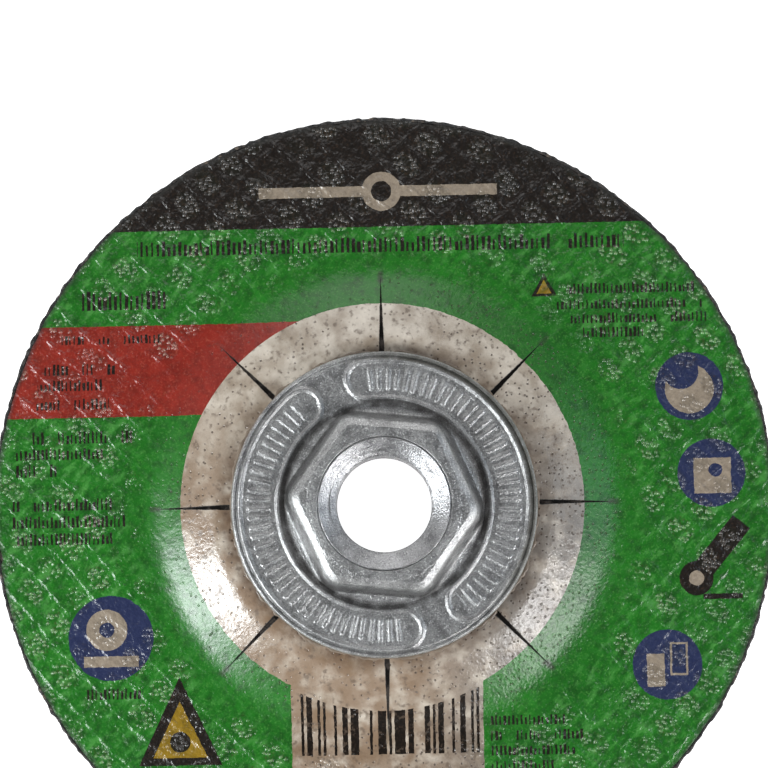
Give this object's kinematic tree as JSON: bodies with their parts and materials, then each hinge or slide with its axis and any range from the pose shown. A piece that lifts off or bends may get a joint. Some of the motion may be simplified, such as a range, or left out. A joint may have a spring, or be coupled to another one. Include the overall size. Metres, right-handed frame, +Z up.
{
  "type": "depressed-centre grinding wheel with threaded hub",
  "caption": "Dished bonded-abrasive grinding wheel for an angle grinder, glass-net reinforced, with a spin-on steel hub that has a hexagonal boss and a threaded bore.",
  "frame": {"origin": "on the wheel's axis, in the plane of the grinding face that the wheel lies on", "axes": "+Z up the axis, from the grinding face to the back of the hub, which meets the grinder"},
  "size_m": [0.115, 0.115, 0.0166],
  "materials": {
    "label": "satin green print over a coarse pressed surface",
    "glass_net": "resin-soaked woven glass, dark",
    "abrasive": "coarse black grit in resin",
    "hub_steel": "pressed and zinc-plated, slightly grainy",
    "nut_steel": "turned, smooth",
    "ring_steel": "plain sheet steel",
    "resin": "brown cured resin"
  },
  "bodies": {
    "root": {"printed_label": "label", "back_glass_net": "glass_net", "back_abrasive": "abrasive", "middle_glass_net": "glass_net", "front_abrasive": "abrasive", "front_glass_net": "glass_net", "centre_glass_net": "glass_net", "arbor_ring": "ring_steel", "hub_flange": "hub_steel", "hub_nut": "nut_steel", "front_washer": "hub_steel", "hub_adhesive": "resin"}
  },
  "joints": []
}
